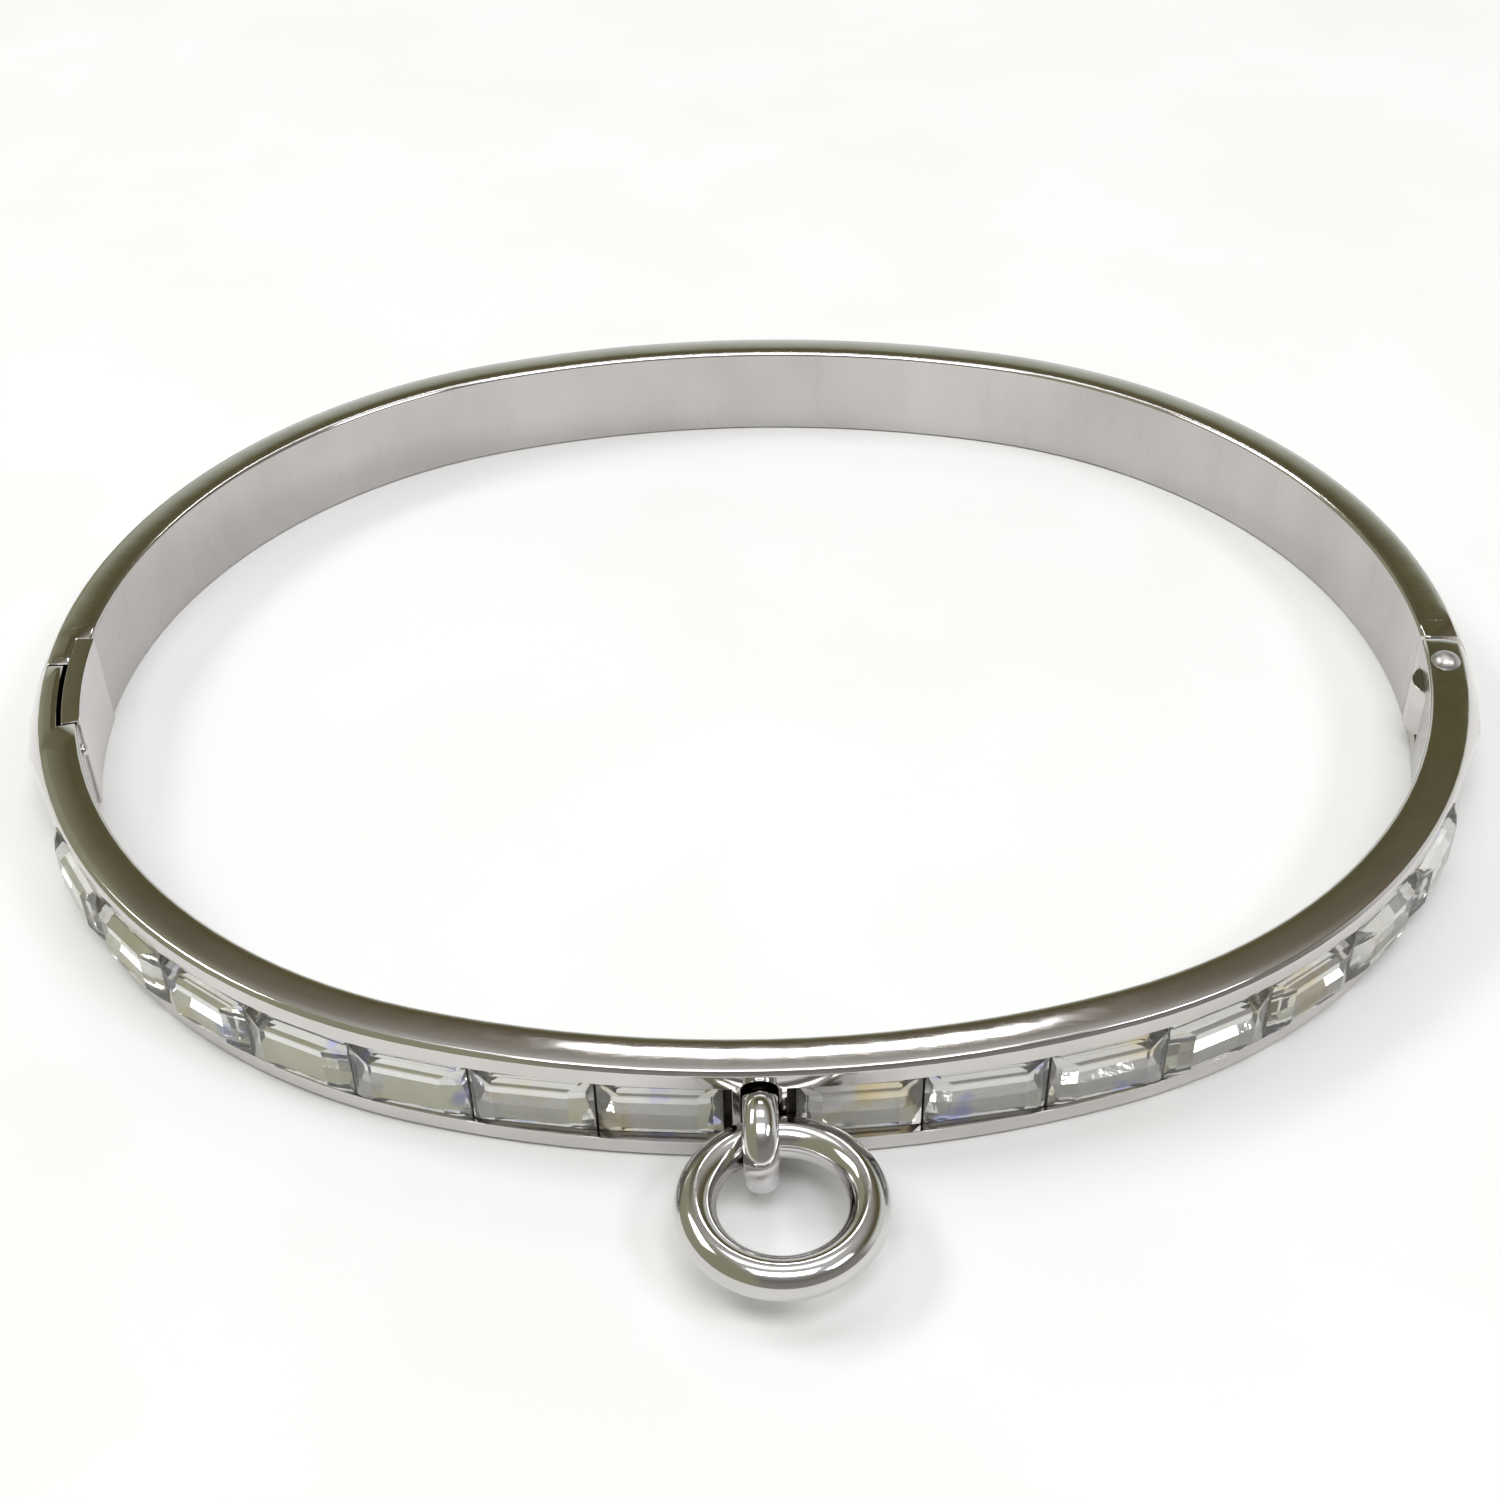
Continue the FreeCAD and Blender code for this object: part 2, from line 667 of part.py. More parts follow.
def make_crystal(side, number):
    """Step-cut baguette: girdle, two crown steps up to the table, two pavilion steps down."""
    body = new_body("crystal_%s_%d" % (side, number))
    base = (size("crystal_length"), crystal_width)
    girdle = new_sketch(body, "girdle_plan")
    rectangle(girdle, -base[0] / 2, -base[1] / 2, base[0] / 2, base[1] / 2)
    pad(body, girdle, "girdle", "dims.girdle_depth")
    facet_pair(body, "crown", size("girdle_depth"), base,
               (size("crown_end_inset"), size("crown_side_inset")), size("crown_depth"))
    facet_pair(body, "pavilion", 0.0, base,
               (size("pavilion_end_inset"), size("pavilion_side_inset")), -size("pavilion_depth"))
    mirror = 1 if side == "right" else -1
    pitch = size("crystal_length") + size("crystal_gap")
    point, out = table.at(size("front_shift") + mirror * (channel_run(number - 1) + pitch / 2))
    along = Vector(0, 0, 1).cross(out)
    turn = Rotation(along, Vector(0, 0, 1), out, "ZXY")
    seat = point - out * (size("crown_depth") + size("girdle_depth") + table_sink)
    body.Placement = Placement(seat + Vector(0, 0, middle), turn)
    return body


# ---------------------------------------------------------------- build, check and write

nodes = [make_front_half(), make_rear_half(), make_hinge_pin(), make_hinge_knuckle(),
         make_clasp_tongue(), make_lap_rivet(), make_ring_eye(), make_drop_ring()]
for side in ("left", "right"):
    for number in range(1, CRYSTALS_PER_SIDE + 1):
        nodes.append(make_crystal(side, number))
doc.recompute()

for thing in doc.Objects:
    if "Invalid" in thing.State or "Error" in thing.State:
        raise RuntimeError("%s failed: %s" % (thing.Label, thing.State))
for node in nodes:
    shape = node.Shape
    if shape.isNull() or not shape.isValid() or len(shape.Solids) != 1:
        raise RuntimeError("%s is not one valid solid" % node.Label)

os.makedirs("parts", exist_ok=True)
for node in nodes:
    node.Shape.exportStep("parts/%s.step" % node.Label)
    box = node.Shape.BoundBox
    print("%-18s volume %8.3f  x %.2f..%.2f  y %.2f..%.2f  z %.2f..%.2f" % (
        node.Label, node.Shape.Volume, box.XMin, box.XMax, box.YMin, box.YMax, box.ZMin, box.ZMax))
print("pin at %.4f %.4f" % (pin.x, pin.y))
print("ring hub at %.4f %.4f %.4f" % tuple(ring_hub()))
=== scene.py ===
# %% [markdown]
# # A hinged bangle with baguette crystals and a drop ring
# The bangle is two half bands of silver-coloured plate joined by a pin at one side and a snap at the
# other. Its front carries a channel of step-cut crystals and a ring in a fixed eye. This file gives
# every piece its finished edges and surfaces: the shapes of the metal halves stay as the CAD made
# them, while turned and cut pieces are made again from finer meshes, because a mirror finish shows
# every facet of a coarse one.

# %% Load the frame
import json
import math
import bpy
import bmesh
from mathutils import Matrix, Vector


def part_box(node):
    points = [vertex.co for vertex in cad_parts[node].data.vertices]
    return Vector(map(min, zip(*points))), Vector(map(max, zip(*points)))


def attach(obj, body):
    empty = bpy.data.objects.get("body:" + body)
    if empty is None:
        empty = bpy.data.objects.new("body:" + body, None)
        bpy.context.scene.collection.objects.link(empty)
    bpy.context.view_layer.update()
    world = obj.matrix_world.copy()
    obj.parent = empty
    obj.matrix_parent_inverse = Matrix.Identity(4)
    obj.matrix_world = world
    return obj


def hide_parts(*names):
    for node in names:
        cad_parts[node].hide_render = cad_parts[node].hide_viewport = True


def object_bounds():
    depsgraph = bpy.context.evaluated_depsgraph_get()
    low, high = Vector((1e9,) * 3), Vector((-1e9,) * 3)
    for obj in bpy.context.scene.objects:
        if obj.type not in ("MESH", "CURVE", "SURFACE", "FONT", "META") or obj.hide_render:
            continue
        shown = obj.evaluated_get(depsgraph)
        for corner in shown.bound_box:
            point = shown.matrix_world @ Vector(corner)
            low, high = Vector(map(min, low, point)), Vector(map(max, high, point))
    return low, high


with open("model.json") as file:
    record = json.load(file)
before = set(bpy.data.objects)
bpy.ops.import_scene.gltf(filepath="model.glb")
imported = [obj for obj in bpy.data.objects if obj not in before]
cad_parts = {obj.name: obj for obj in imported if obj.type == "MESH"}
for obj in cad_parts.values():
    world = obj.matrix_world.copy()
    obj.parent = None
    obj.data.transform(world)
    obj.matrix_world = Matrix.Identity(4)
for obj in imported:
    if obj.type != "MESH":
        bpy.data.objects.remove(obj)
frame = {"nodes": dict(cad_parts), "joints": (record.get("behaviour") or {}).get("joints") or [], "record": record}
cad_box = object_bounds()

MM = 0.001
joints = {joint["name"]: joint for joint in frame["joints"]}
body_of_node = {node: body for body, nodes in frame["record"]["behaviour"]["bodies"].items()
                for node in nodes}
print("CAD nodes:", len(frame["nodes"]), "joints:", sorted(joints))

# %% [markdown]
# ## The oval
# A bangle's oval is four arcs that meet smoothly: a flat curve at the front and back, a rounder one
# at each side. A spline would look alike, but arcs say where a point is with plain trigonometry, and
# tell how far any point of a piece lies outside the inner wall. Two ovals are needed: the inner wall,
# and the flatter one that the crystals' tables follow.

# %% An oval of four arcs
class Oval:
    def __init__(self, half_length, half_width, side_radius):
        self.side_radius = side_radius
        self.end_radius = (2 * side_radius * half_width - half_length ** 2 - half_width ** 2) \
            / (2 * (side_radius - half_length))
        self.end_x = half_length - self.end_radius
        self.side_y = side_radius - half_width
        self.join = math.atan2(self.end_x, self.side_y)

    def at(self, run):
        """Point and outward direction at a run from the front's middle, positive to the right."""
        straight_on = self.side_radius * self.join
        if abs(run) <= straight_on:
            angle = abs(run) / self.side_radius
            x, y = self.side_radius * math.sin(angle), self.side_y - self.side_radius * math.cos(angle)
        else:
            angle = self.join + (abs(run) - straight_on) / self.end_radius
            x, y = self.end_x + self.end_radius * math.sin(angle), -self.end_radius * math.cos(angle)
        side = math.copysign(1.0, run)
        return Vector((side * x, y, 0)), Vector((side * math.sin(angle), -math.cos(angle), 0))

    def offset(self, x, y):
        """How far outside the oval a point lies."""
        x, y = abs(x), abs(y)
        if math.atan2(x, y + self.side_y) < self.join:
            return math.hypot(x, y + self.side_y) - self.side_radius
        return math.hypot(x - self.end_x, y) - self.end_radius


inner_wall = Oval(31.4, 26.125, 46.1)
tables = Oval(33.69, 27.915, 58.4)
BAND_HEIGHT = 4.9
print("inner wall joins at %.1f degrees" % math.degrees(inner_wall.join))

# %% [markdown]
# ## Metal finishes
# The plate is polished on the outside and brushed on the inside. A perfect mirror looks like a
# drawing, so three small faults are added: a faint ripple that the polishing wheel leaves, hair
# scratches that dull the gloss, and a slow change of tone where the surface has been handled. They
# are noise on object coordinates, so that they stay fixed to the metal and need no unwrapping.

# %% Nodes that every finish uses
def new_material(name):
    material = bpy.data.materials.new(name)
    material.use_nodes = True
    return material, material.node_tree, material.node_tree.nodes["Principled BSDF"]


def noise(tree, scale, stretch=(1, 1, 1), detail=3.0, rough=0.5):
    """Noise on object coordinates: scale is in features per metre, stretch lengthens some axes."""
    place = tree.nodes.new("ShaderNodeTexCoord")
    mapping = tree.nodes.new("ShaderNodeMapping")
    mapping.inputs["Scale"].default_value = stretch
    texture = tree.nodes.new("ShaderNodeTexNoise")
    texture.inputs["Scale"].default_value = scale
    texture.inputs["Detail"].default_value = detail
    texture.inputs["Roughness"].default_value = rough
    tree.links.new(place.outputs["Object"], mapping.inputs["Vector"])
    tree.links.new(mapping.outputs["Vector"], texture.inputs["Vector"])
    return texture.outputs["Fac"]


def spread(tree, value, low, high, from_low=0.3, from_high=0.7):
    """Turn a value that runs between from_low and from_high into a range of its own."""
    node = tree.nodes.new("ShaderNodeMapRange")
    node.inputs["From Min"].default_value = from_low
    node.inputs["From Max"].default_value = from_high
    node.inputs["To Min"].default_value = low
    node.inputs["To Max"].default_value = high
    tree.links.new(value, node.inputs["Value"])
    return node.outputs["Result"]


def tint(tree, value, stops):
    """A colour for each value, from a few stops."""
    ramp = tree.nodes.new("ShaderNodeValToRGB")
    elements = ramp.color_ramp.elements
    while len(elements) < len(stops):
        elements.new(0.5)
    for element, (position, colour) in zip(elements, stops):
        element.position = position
        element.color = (*colour, 1)
    tree.links.new(value, ramp.inputs["Fac"])
    return ramp.outputs["Color"]


def bumped(tree, value, depth, normal=None):
    """Raise the surface by a value times a depth in metres, on top of another bump if given."""
    node = tree.nodes.new("ShaderNodeBump")
    node.inputs["Distance"].default_value = depth
    tree.links.new(value, node.inputs["Height"])
    if normal is not None:
        tree.links.new(normal, node.inputs["Normal"])
    return node.outputs["Normal"]


# %% Polished and brushed plate
SCRATCHED = 2.2         # how much rougher the metal is where hair scratches crowd
HAIR_DEPTH = 0.05       # depth of a scratch, as a share of the ripple's height


def polished_plate(name, dark, light, gloss, ripple):
    material, tree, shader = new_material(name)
    shader.inputs["Metallic"].default_value = 1.0
    handled = noise(tree, 160, detail=4)
    hairs = noise(tree, 900, (1, 9, 3), detail=5, rough=0.7)
    tree.links.new(tint(tree, handled, ((0.35, dark), (0.65, light))), shader.inputs["Base Color"])
    tree.links.new(spread(tree, hairs, gloss, gloss * SCRATCHED), shader.inputs["Roughness"])
    wavy = bumped(tree, noise(tree, 420, detail=2), ripple)
    tree.links.new(bumped(tree, hairs, ripple * HAIR_DEPTH, wavy), shader.inputs["Normal"])
    return material


def brushed_plate(name, dark, light):
    """Fine upright lines, as a drum brush leaves inside a bangle."""
    material, tree, shader = new_material(name)
    shader.inputs["Metallic"].default_value = 1.0
    lines = noise(tree, 2600, (1, 1, 0.05), detail=4, rough=0.65)
    patches = noise(tree, 130, (1, 1, 0.6), detail=3)
    tree.links.new(tint(tree, patches, ((0.3, dark), (0.7, light))), shader.inputs["Base Color"])
    tree.links.new(spread(tree, lines, 0.13, 0.30), shader.inputs["Roughness"])
    tree.links.new(bumped(tree, lines, 6e-6), shader.inputs["Normal"])
    return material


def dull_channel_painted_shade(name):
    """The inside of the channel, which no wheel reaches: dull and pitted, and near black as painted shade for the
    gaps between the stones.
    """
    material, tree, shader = new_material(name)
    shader.inputs["Metallic"].default_value = 1.0
    pits = noise(tree, 3200, detail=5, rough=0.7)
    # near-black tint: painted shade of the deep gaps between the stones
    tree.links.new(tint(tree, pits, ((0.35, (0.05, 0.045, 0.04)), (0.7, (0.16, 0.145, 0.12)))),
                   shader.inputs["Base Color"])
    tree.links.new(spread(tree, pits, 0.35, 0.6), shader.inputs["Roughness"])
    tree.links.new(bumped(tree, pits, 1.2e-5), shader.inputs["Normal"])
    return material


plate = polished_plate("polished_plate", (0.60, 0.575, 0.56), (0.67, 0.645, 0.63), 0.055, 1e-5)
inside = brushed_plate("brushed_plate", (0.48, 0.455, 0.445), (0.60, 0.575, 0.565))
wire_plate = polished_plate("wire_plate", (0.60, 0.585, 0.58), (0.68, 0.665, 0.66), 0.06, 6e-6)
pin_steel = polished_plate("pin_steel", (0.46, 0.44, 0.43), (0.54, 0.52, 0.51), 0.22, 4e-6)
# the channel's inside: dull metal coloured near black as painted shade
channel_shade = dull_channel_painted_shade("dull_channel_painted_shade")
print("metals:", plate.name, inside.name, wire_plate.name, pin_steel.name, channel_shade.name)

# %% [markdown]
# ## Crystal and foil
# A baguette like this is clear glass with a mirror foil fired on its back, so light that goes in
# comes out again from the pavilion facets. The glass is one material and the foil another, on the
# girdle and the faces behind it. The foil isn't even: it turns warm in some patches, and a few
# patches are a cold blue, painted in for the coloured sparks that a cut crystal throws.

# %% Glass and foil
GLASS_INDEX = 1.52
FOIL_METAL = 0.82       # the rest is the pale lacquer over the foil


def crystal_glass(name):
    material, tree, shader = new_material(name)
    shader.inputs["Transmission Weight"].default_value = 1.0
    shader.inputs["IOR"].default_value = GLASS_INDEX
    veil = noise(tree, 700, detail=2)
    tree.links.new(tint(tree, veil, ((0.3, (0.985, 0.98, 0.96)), (0.7, (1.0, 1.0, 1.0)))),
                   shader.inputs["Base Color"])
    tree.links.new(spread(tree, veil, 0.0, 0.015), shader.inputs["Roughness"])
    return material


def mirror_foil(name):
    material, tree, shader = new_material(name)
    shader.inputs["Metallic"].default_value = FOIL_METAL
    tint_and_painted_spark = noise(tree, 480, detail=3)
    # the cold blue is a painted glint for a cut crystal's coloured sparks; the warm patches just tint the foil
    warm, plain, painted_blue_spark = (0.90, 0.78, 0.50), (0.89, 0.885, 0.87), (0.55, 0.58, 1.0)
    tree.links.new(tint(tree, tint_and_painted_spark, ((0.30, warm), (0.44, plain), (0.62, plain), (0.72, painted_blue_spark))),
                   shader.inputs["Base Color"])
    tree.links.new(spread(tree, tint_and_painted_spark, 0.02, 0.08), shader.inputs["Roughness"])
    tree.links.new(bumped(tree, noise(tree, 2500, detail=2), 4e-6), shader.inputs["Normal"])
    return material


glass = crystal_glass("crystal_glass")
foil = mirror_foil("mirror_foil")
print("stones:", glass.name, foil.name)

# %% [markdown]
# ## Handing a piece over
# A finished piece keeps its place in its mesh, rides on the body of the CAD node that it stands for,
# and hides that node. Round surfaces shade smoothly, and edges sharper than a set
# angle stay crisp, so one helper does it all for every piece.

# %% Finish a piece
SHARP = math.radians(28)


def finish_piece(bm, name, node, materials, sharp=SHARP, smooth=True):
    """Turn a bmesh into an object that replaces a CAD node."""
    for face in bm.faces:
        face.smooth = smooth
    for edge in bm.edges:
        edge.smooth = edge.calc_face_angle(0) < sharp
    mesh = bpy.data.meshes.new(name)
    bm.to_mesh(mesh)
    bm.free()
    piece = bpy.data.objects.new(name, mesh)
    bpy.context.collection.objects.link(piece)
    for material in materials:
        mesh.materials.append(material)
    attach(piece, body_of_node[node])
    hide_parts(node)
    spans = [[vertex.co[axis] / MM for vertex in mesh.vertices] for axis in range(3)]
    print("%-22s %6d faces, %s mm" % (name, len(mesh.polygons), " x ".join(
        "%.2f..%.2f" % (min(span), max(span)) for span in spans)))
    return piece


# %% [markdown]
# ## The half bands
# Each half is cast, ground flat above and below and polished, and no edge of it is knife sharp. The
# CAD solid already has the right shape. A copy of its mesh is welded, its flat triangles are merged
# into whole faces, and the sharp edges get a small round: that round is what draws the thin bright
# lines along a polished band. The wall that touches the wrist is brushed, the channel's inside is
# dull and coloured near black as painted shade for the gaps between the stones, and the rest is
# polished. The wheel also leaves the top face a hair fuller in its middle, and that is what makes its
# glare a soft streak instead of a hard one.

# %% Copy a CAD node with rounded edges
WELD = 2e-6
FLAT = math.radians(0.25)


def rounded_copy(node, round_off, segments=2):
    """A welded copy of a CAD node's mesh, its sharp edges rounded by this many millimetres."""
    bm = bmesh.new()
    bm.from_mesh(frame["nodes"][node].data)
    bmesh.ops.remove_doubles(bm, verts=bm.verts, dist=WELD)
    bmesh.ops.dissolve_limit(bm, angle_limit=FLAT, verts=bm.verts, edges=bm.edges,
                             use_dissolve_boundaries=False)
    edges = [edge for edge in bm.edges
             if len(edge.link_faces) == 2 and edge.calc_face_angle(0) > SHARP]
    bmesh.ops.bevel(bm, geom=edges, offset=round_off * MM, offset_type="OFFSET", affect="EDGES",
                    segments=segments, profile=0.5, material=-1, clamp_overlap=False,
                    loop_slide=True)
    # where several rounds meet in a tight corner they can overshoot: nothing may leave the node's box
    low, high = (Vector(corner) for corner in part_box(node))
    for vertex in bm.verts:
        vertex.co = Vector([min(max(value, least), most)
                            for value, least, most in zip(vertex.co, low, high)])
    bmesh.ops.remove_doubles(bm, verts=bm.verts, dist=WELD)
    bmesh.ops.recalc_face_normals(bm, faces=bm.faces)
    return bm


FLAT_WIDTH = 1.69
CHANNEL_DEPTH = 1.8             # how far outside the inner wall the channel's painted shade reaches
CHANNEL_END = -8                # the channel lies in front of this
WALL_SLACK = 0.06               # a face this near the inner wall belongs to it
RIM = 0.15                      # faces this near the top or the bottom stay polished
BRUSHED, CHANNEL_SHADE = 1, 2             # material slots; the polished plate is slot 0, slot 2 the channel's painted shade
EDGE_ROUND, CROWN_RISE = 0.05, 0.03
LEVEL = 0.999                   # the upright part of a level face's normal
LARGE_FACES_RULE = 90           # 50 would treat large and small faces alike


def sort_finishes(bm):
    """Brush the faces of the inner wall, and give those inside the channel the near-black painted shade."""
    for face in bm.faces:
        centre = face.calc_center_median() / MM
        offset = inner_wall.offset(centre.x, centre.y)
        if abs(face.normal.z) < 0.5 and abs(offset) < WALL_SLACK:
            face.material_index = BRUSHED
        between_rims = RIM < centre.z < BAND_HEIGHT - RIM
        # faces inside the channel get the near-black painted shade of the gaps between the stones
        if between_rims and centre.y < CHANNEL_END and WALL_SLACK < offset < CHANNEL_DEPTH:
            face.material_index = CHANNEL_SHADE


def crown_top(bm, rise, cuts=5):
    """Raise the middle of the top face by this many millimetres; the return value counts points."""
    top = [face for face in bm.faces if face.normal.z > LEVEL
           and face.calc_center_median().z > (BAND_HEIGHT - EDGE_ROUND) * MM]
    triangles = set(bmesh.ops.triangulate(bm, faces=top)["faces"])
    across = [edge for edge in bm.edges if len(edge.link_faces) == 2
              and all(face in triangles for face in edge.link_faces)]
    made = bmesh.ops.subdivide_edges(bm, edges=across, cuts=cuts)
    lifted = {item for item in made["geom_inner"] if isinstance(item, bmesh.types.BMVert)}
    for vertex in lifted:
        share = inner_wall.offset(vertex.co.x / MM, vertex.co.y / MM) / FLAT_WIDTH
        share = min(max(share, 0.0), 1.0)
        vertex.co.z += rise * MM * 4 * share * (1 - share)
    return len(lifted)


def even_shading(piece):
    """Let large faces rule the shading, so that flats stay flat beside their rounded edges."""
    modifier = piece.modifiers.new("even_shading", "WEIGHTED_NORMAL")
    modifier.keep_sharp = True
    modifier.weight = LARGE_FACES_RULE


for node in ("front_half", "rear_half"):
    bm = rounded_copy(node, EDGE_ROUND)
    sort_finishes(bm)
    print("points lifted in the crown:", crown_top(bm, CROWN_RISE))
    even_shading(finish_piece(bm, node + "_polished", node, (plate, inside, channel_shade)))

# %% [markdown]
# ## Hinge and clasp fittings
# The knuckle and the spring tongue are small plain castings, so they are made like the bands: welded
# copies with a finer round. The tongue's broad face rubs against the wrist and stays bright.

# %% Knuckle, tongue and lap rivet
RIVET_ROUND = 0.02
for node, round_off in (("hinge_knuckle", EDGE_ROUND), ("clasp_tongue", EDGE_ROUND),
                        ("lap_rivet", RIVET_ROUND)):
    bm = rounded_copy(node, round_off)
    even_shading(finish_piece(bm, node + "_polished", node, (plate,)))

# %% [markdown]
# ## Turned pieces: pin, eye and ring
# These three are round, so each is one outline spun about its axis: the pin's outline about its own
# length, the eye's oval section and the ring's round wire about a centre. A lathe works in the same
# way, and the result has even rings of quads that mirror the room without a kink.

# %% Spin an outline
def spun(outline, centre, axis, steps):
    """A closed solid from an outline of points in millimetres, turned once about an axis."""
    bm = bmesh.new()
    points = [bm.verts.new(point) for point in outline]
    edges = [bm.edges.new((points[i], points[(i + 1) % len(points)])) for i in range(len(points))]
    bmesh.ops.spin(bm, geom=points + edges, cent=centre, axis=axis, angle=2 * math.pi, steps=steps,
                   use_merge=True, use_normal_flip=False)
    bmesh.ops.remove_doubles(bm, verts=bm.verts, dist=WELD / MM)
    bmesh.ops.recalc_face_normals(bm, faces=bm.faces)
    return bm


def to_metres(bm):
    bmesh.ops.scale(bm, vec=(MM, MM, MM), verts=bm.verts)


# %% Hinge pin
PIN_STEPS, CAP_STEPS = 64, 10
pin_place = Vector(joints["band_hinge"]["pos_m"]) / MM
PIN_RADIUS, HEAD_RADIUS, HEAD_RISE = 0.5, 0.68, 0.42
cap_radius = (HEAD_RADIUS ** 2 + HEAD_RISE ** 2) / (2 * HEAD_RISE)
cap_turn = math.asin(HEAD_RADIUS / cap_radius)
cap_floor = BAND_HEIGHT + HEAD_RISE - cap_radius
outline = [(0, 0, 0), (PIN_RADIUS, 0, 0), (PIN_RADIUS, 0, BAND_HEIGHT), (HEAD_RADIUS, 0, BAND_HEIGHT)]
outline += [(cap_radius * math.sin(turn), 0, cap_floor + cap_radius * math.cos(turn))
            for turn in (cap_turn * step / CAP_STEPS for step in range(CAP_STEPS - 1, 0, -1))]
outline.append((0, 0, BAND_HEIGHT + HEAD_RISE))
bm = spun(outline, (0, 0, 0), (0, 0, 1), PIN_STEPS)
bmesh.ops.translate(bm, verts=bm.verts, vec=(pin_place.x, pin_place.y, 0))
to_metres(bm)
print("pin faces", len(bm.faces))
finish_piece(bm, "hinge_pin_turned", "hinge_pin", (pin_steel,))

# %% Ring eye
EYE_WIDTH, EYE_BORE, EYE_WALL, STEM_RADIUS = 1.36, 1.02, 1.03, 0.5
low, high = (corner / MM for corner in map(Vector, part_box("ring_eye")))
eye_reach = EYE_BORE + EYE_WALL
eye_centre = Vector(((low.x + high.x) / 2, low.y + eye_reach, (low.z + high.z) / 2))
SECTION_POINTS, EYE_STEPS, STEM_SEGMENTS = 40, 96, 32
section_turns = [2 * math.pi * step / SECTION_POINTS for step in range(SECTION_POINTS)]
outline = [(EYE_WIDTH / 2 * math.cos(turn), EYE_BORE + EYE_WALL / 2 + EYE_WALL / 2 * math.sin(turn), 0)
           for turn in section_turns]
bm = spun(outline, (0, 0, 0), (1, 0, 0), EYE_STEPS)
stem_root = EYE_BORE + EYE_WALL / 2         # the stem starts inside the eye's wall
stem_length = high.y - eye_centre.y - stem_root
stem = bmesh.ops.create_cone(bm, cap_ends=True, segments=STEM_SEGMENTS, radius1=STEM_RADIUS,
                             radius2=STEM_RADIUS, depth=stem_length)
bmesh.ops.rotate(bm, verts=stem["verts"], matrix=Matrix.Rotation(math.pi / 2, 3, "X"),
                 cent=(0, 0, 0))
bmesh.ops.translate(bm, verts=stem["verts"], vec=(0, stem_root + stem_length / 2, 0))
bmesh.ops.translate(bm, verts=bm.verts, vec=eye_centre)
to_metres(bm)
print("eye faces", len(bm.faces), "centre", tuple(round(value, 3) for value in eye_centre))
finish_piece(bm, "ring_eye_turned", "ring_eye", (wire_plate,))

# %% Drop ring
RING_RADIUS, RING_WIRE, RING_STEPS = 3.21, 0.8, 160
low, high = (corner / MM for corner in map(Vector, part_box("drop_ring")))
outline = [(RING_RADIUS + RING_WIRE * math.cos(turn), 0, RING_WIRE * math.sin(turn))
           for turn in section_turns]
bm = spun(outline, (0, 0, 0), (0, 0, 1), RING_STEPS)
bmesh.ops.translate(bm, verts=bm.verts, vec=(low + high) / 2)
to_metres(bm)
print("ring faces", len(bm.faces))
finish_piece(bm, "drop_ring_turned", "drop_ring", (wire_plate,))

# %% [markdown]
# ## The crystals
# A step-cut baguette is a block with its edges ground away in steps: above the girdle the crown
# narrows twice up to the flat table, and below it the pavilion narrows three times to a long keel.
# Each step is one face pushed out and drawn in, so the cut is a short loop. The pavilion's ends stand
# at 45 degrees: light that meets one end runs to the other and comes out again, so the ends look as
# bright as the middle, where shallower ends would trap it. Facets stay flat, so no edge is smoothed.

# %% Cut one baguette
LENGTH, WIDTH, GIRDLE = 4.85, 3.0, 0.16
# each step: depth, how far the ends draw in, how far the sides draw in
CROWN = ((0.22, 0.38, 0.20), (0.22, 0.57, 0.30))
PAVILION = ((0.18, 0.18, 0.40), (0.26, 0.26, 0.48), (0.28, 0.28, 0.47))
CROWN_DEPTH = sum(step[0] for step in CROWN)
GLASS, FOIL = 0, 1
FOIL_EDGE = GIRDLE * 0.75       # between the middle of the girdle and the crown's first facets


def push_in(bm, face, depth, end, side, half_length, half_width):
    """Push a face out by a depth and draw it in at the ends and the sides."""
    moved = bmesh.ops.extrude_face_region(bm, geom=[face])["geom"]
    corners = [item for item in moved if isinstance(item, bmesh.types.BMVert)]
    bmesh.ops.translate(bm, verts=corners, vec=(0, 0, depth))
    shrink = ((half_length - end) / half_length, (half_width - side) / half_width, 1)
    bmesh.ops.scale(bm, verts=corners, vec=shrink)
    bmesh.ops.delete(bm, geom=[face] if face.is_valid else [], context="FACES_ONLY")
    return next(item for item in moved if isinstance(item, bmesh.types.BMFace))


def baguette():
    """A crystal lying on its back: length along X, width along Y, girdle from 0 up."""
    bm = bmesh.new()
    bmesh.ops.create_cube(bm, size=1.0)
    bmesh.ops.scale(bm, verts=bm.verts, vec=(LENGTH, WIDTH, GIRDLE))
    bmesh.ops.translate(bm, verts=bm.verts, vec=(0, 0, GIRDLE / 2))
    for steps, way in ((CROWN, 1), (PAVILION, -1)):
        face = max(bm.faces, key=lambda item: way * item.calc_center_median().z)
        half_length, half_width = LENGTH / 2, WIDTH / 2
        for depth, end, side in steps:
            face = push_in(bm, face, way * depth, end, side, half_length, half_width)
            half_length, half_width = half_length - end, half_width - side
    bmesh.ops.recalc_face_normals(bm, faces=bm.faces)
    for face in bm.faces:
        face.material_index = FOIL if face.calc_center_median().z < FOIL_EDGE else GLASS
    return bm


# %% Set the crystals in their channel
FRONT_SHIFT, FIRST_RUN, PITCH = -0.3, 1.36, 4.98
STONES_PER_SIDE = 7
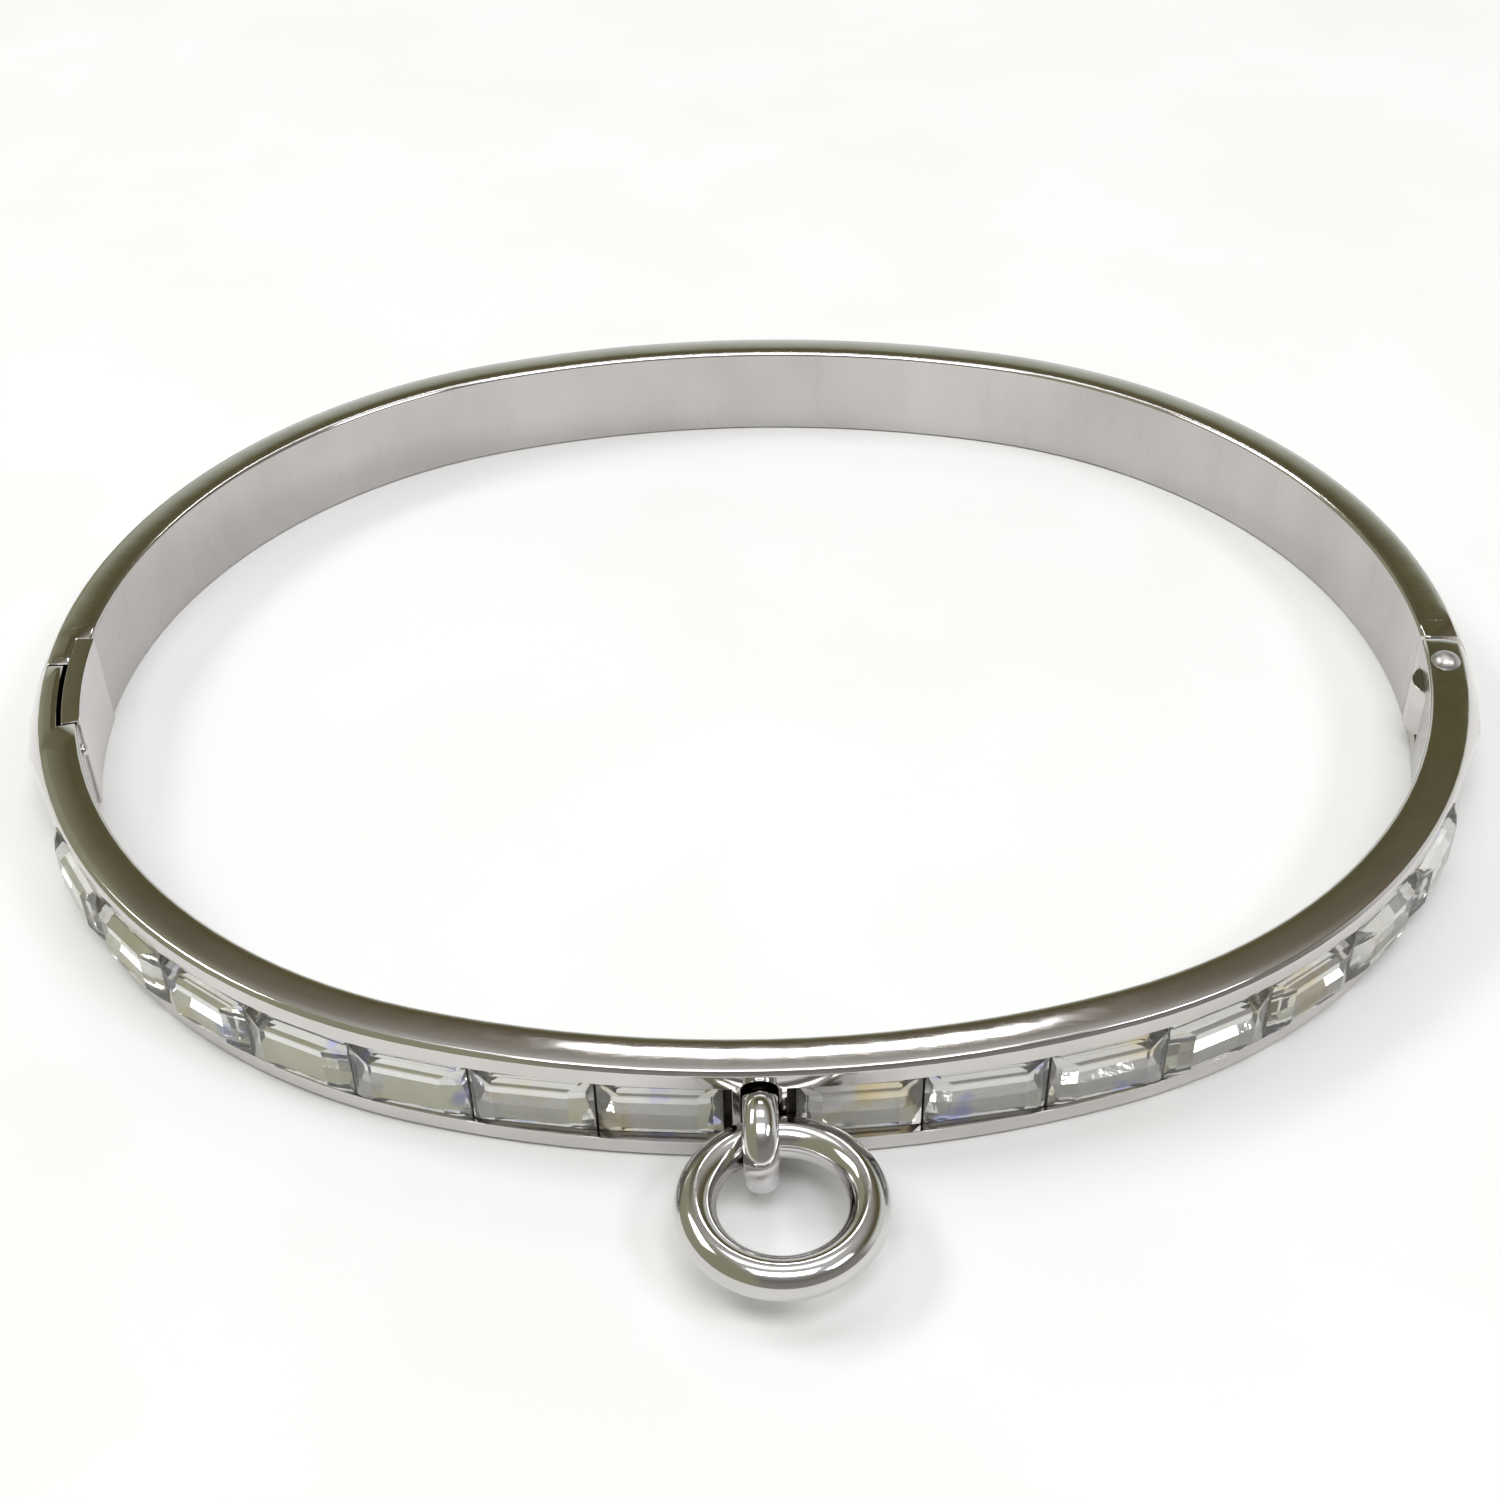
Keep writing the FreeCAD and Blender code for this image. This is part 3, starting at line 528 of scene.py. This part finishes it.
# a stone's table is flat and the row is curved: each sits a little in, so that its ends don't stand out
sink = tables.end_radius - math.sqrt(tables.end_radius ** 2 - (LENGTH / 4) ** 2)
for side, mirror in (("left", -1), ("right", 1)):
    for number in range(1, STONES_PER_SIDE + 1):
        point, out = tables.at(FRONT_SHIFT + mirror * (FIRST_RUN + (number - 0.5) * PITCH))
        along = Vector((0, 0, 1)).cross(out)
        seat = point - out * (CROWN_DEPTH + GIRDLE + sink) + Vector((0, 0, BAND_HEIGHT / 2))
        bm = baguette()
        turn = Matrix((along, Vector((0, 0, 1)), out)).transposed().to_4x4()
        bmesh.ops.transform(bm, matrix=Matrix.Translation(seat) @ turn, verts=bm.verts)
        to_metres(bm)
        node = "crystal_%s_%d" % (side, number)
        finish_piece(bm, node + "_cut", node, (glass, foil), sharp=0.0, smooth=False)
print("crystals set:", sum(name.startswith("crystal") for name in frame["nodes"]))

# %% [markdown]
# ## Where it lies
# The bangle is shown on plain white paper under soft light, as a jeweller would show it. Polished
# metal has no colour of its own to speak of and takes its look from the room, so the room matters as
# much as the finish. Behind, it is pale low down and dim and warm at middle height, which gives the
# top faces their olive tone; in front it is grey, and at the left it is a little paler. Five panels
# stand in it: the low, narrow one behind draws the glare on the front's top face, those at the left
# and the right strike white from the stones, and the rest lights the paper.

# %% Paper
PAPER_SIZE = 6.0
bpy.ops.mesh.primitive_plane_add(size=PAPER_SIZE)
paper = bpy.context.object
paper.name = "paper"
material, tree, shader = new_material("white_paper")
tree.links.new(tint(tree, noise(tree, 60), ((0.4, (0.90, 0.90, 0.895)), (0.6, (0.92, 0.92, 0.92)))),
               shader.inputs["Base Color"])
shader.inputs["Roughness"].default_value = 0.9
paper.data.materials.append(material)
print("paper:", PAPER_SIZE, "m square")

# %% Room
world = bpy.data.worlds.new("studio")
bpy.context.scene.world = world
world.use_nodes = True
tree = world.node_tree
place = tree.nodes.new("ShaderNodeTexCoord")
direction = tree.nodes.new("ShaderNodeSeparateXYZ")
tree.links.new(place.outputs["Generated"], direction.inputs[0])
# colours by height, as the sine of the elevation
BEHIND = ((0.36, (0.80, 0.82, 0.80)), (0.48, (0.44, 0.47, 0.38)), (0.54, (0.15, 0.14, 0.075)),
          (0.60, (0.11, 0.10, 0.047)), (0.72, (0.19, 0.165, 0.12)), (0.90, (0.60, 0.60, 0.58)))
BEFORE = ((0.0, (0.30, 0.29, 0.28)), (0.42, (0.28, 0.27, 0.25)), (0.60, (0.20, 0.195, 0.175)),
          (0.75, (0.27, 0.265, 0.25)), (0.90, (0.60, 0.60, 0.60)))
FRONT_TO_BACK = (-0.25, 0.05)           # between these the front's colours give way to the back's
SIDE_TO_MIDDLE = (-0.42, -0.28)         # between these the left wall's colour gives way to both
room = tree.nodes.new("ShaderNodeMix")
room.data_type = "RGBA"
tree.links.new(spread(tree, direction.outputs["Y"], 0.0, 1.0, *FRONT_TO_BACK), room.inputs["Factor"])
tree.links.new(tint(tree, direction.outputs["Z"], BEFORE), room.inputs["A"])
tree.links.new(tint(tree, direction.outputs["Z"], BEHIND), room.inputs["B"])
side_wall = tree.nodes.new("ShaderNodeMix")
side_wall.data_type = "RGBA"
tree.links.new(spread(tree, direction.outputs["X"], 1.0, 0.0, *SIDE_TO_MIDDLE),
               side_wall.inputs["Factor"])
tree.links.new(room.outputs["Result"], side_wall.inputs["A"])
side_wall.inputs["B"].default_value = (0.34, 0.34, 0.24, 1)
tree.links.new(side_wall.outputs["Result"], tree.nodes["Background"].inputs["Color"])
print("room:", world.name)

# %% Light panels
LAMP_COLOUR = (0.96, 0.97, 1.0)         # a little cool, against the warm room
PANEL_DISTANCE = 0.7
# name, azimuth (0 behind, 90 at the right), elevation, width, height, power
PANELS = (("back_panel", 3.0, 50.0, 0.17, 0.03, 0.2),
          ("top_panel", 0, 78, 0.40, 0.18, 0.42),
          ("left_panel", -72, 49, 0.32, 0.16, 1.25),
          ("right_panel", 118, 49, 0.22, 0.12, 0.8),
          ("front_panel", 180, 70, 0.45, 0.22, 1.75))


def softbox(name, azimuth, elevation, width, height, power):
    """A rectangular panel that faces the bangle, given by its direction from it."""
    data = bpy.data.lights.new(name, "AREA")
    data.shape = "RECTANGLE"
    data.size, data.size_y, data.energy = width, height, power
    data.color = LAMP_COLOUR
    lamp = bpy.data.objects.new(name, data)
    bpy.context.collection.objects.link(lamp)
    a, e = math.radians(azimuth), math.radians(elevation)
    away = Vector((math.sin(a) * math.cos(e), math.cos(a) * math.cos(e), math.sin(e)))
    lamp.location = away * PANEL_DISTANCE
    lamp.rotation_mode = "QUATERNION"
    lamp.rotation_quaternion = away.to_track_quat("Z", "Y")


for panel in PANELS:
    softbox(*panel)
print("panels:", len(PANELS))
# plain display of the light as it falls, so that white paper comes out white
bpy.context.scene.view_settings.view_transform = "Standard"

# %% [markdown]
# ## Camera
# The camera stands in front and looks down by about forty degrees, close enough that the far side of
# the band is clearly smaller. It turns about its aim point, so its place is the aim plus a direction.

# %% Camera
AIM = Vector((-0.240, -2.948, -0.252)) * MM
DISTANCE = 100.97 * MM
AZIMUTH, ELEVATION, ROLL = (math.radians(value) for value in (-0.428, 39.83, -1.046))
LENS, NEAREST = 50.5, 0.005
camera_data = bpy.data.cameras.new("camera")
camera = bpy.data.objects.new("camera", camera_data)
bpy.context.collection.objects.link(camera)
bpy.context.scene.camera = camera
back = Vector((math.sin(AZIMUTH) * math.cos(ELEVATION), -math.cos(AZIMUTH) * math.cos(ELEVATION),
               math.sin(ELEVATION)))
right = Vector((math.cos(AZIMUTH), math.sin(AZIMUTH), 0))
up = back.cross(right)
turned_right = right * math.cos(ROLL) + up * math.sin(ROLL)
turned_up = up * math.cos(ROLL) - right * math.sin(ROLL)
camera.matrix_world = Matrix.Translation(AIM + back * DISTANCE) @ Matrix(
    (turned_right, turned_up, back)).transposed().to_4x4()
camera_data.lens = LENS
camera_data.clip_start = NEAREST
print("camera stands at", tuple(round(value / MM, 1) for value in AIM + back * DISTANCE), "mm")

# %% The CAD model's box
low, high = cad_box
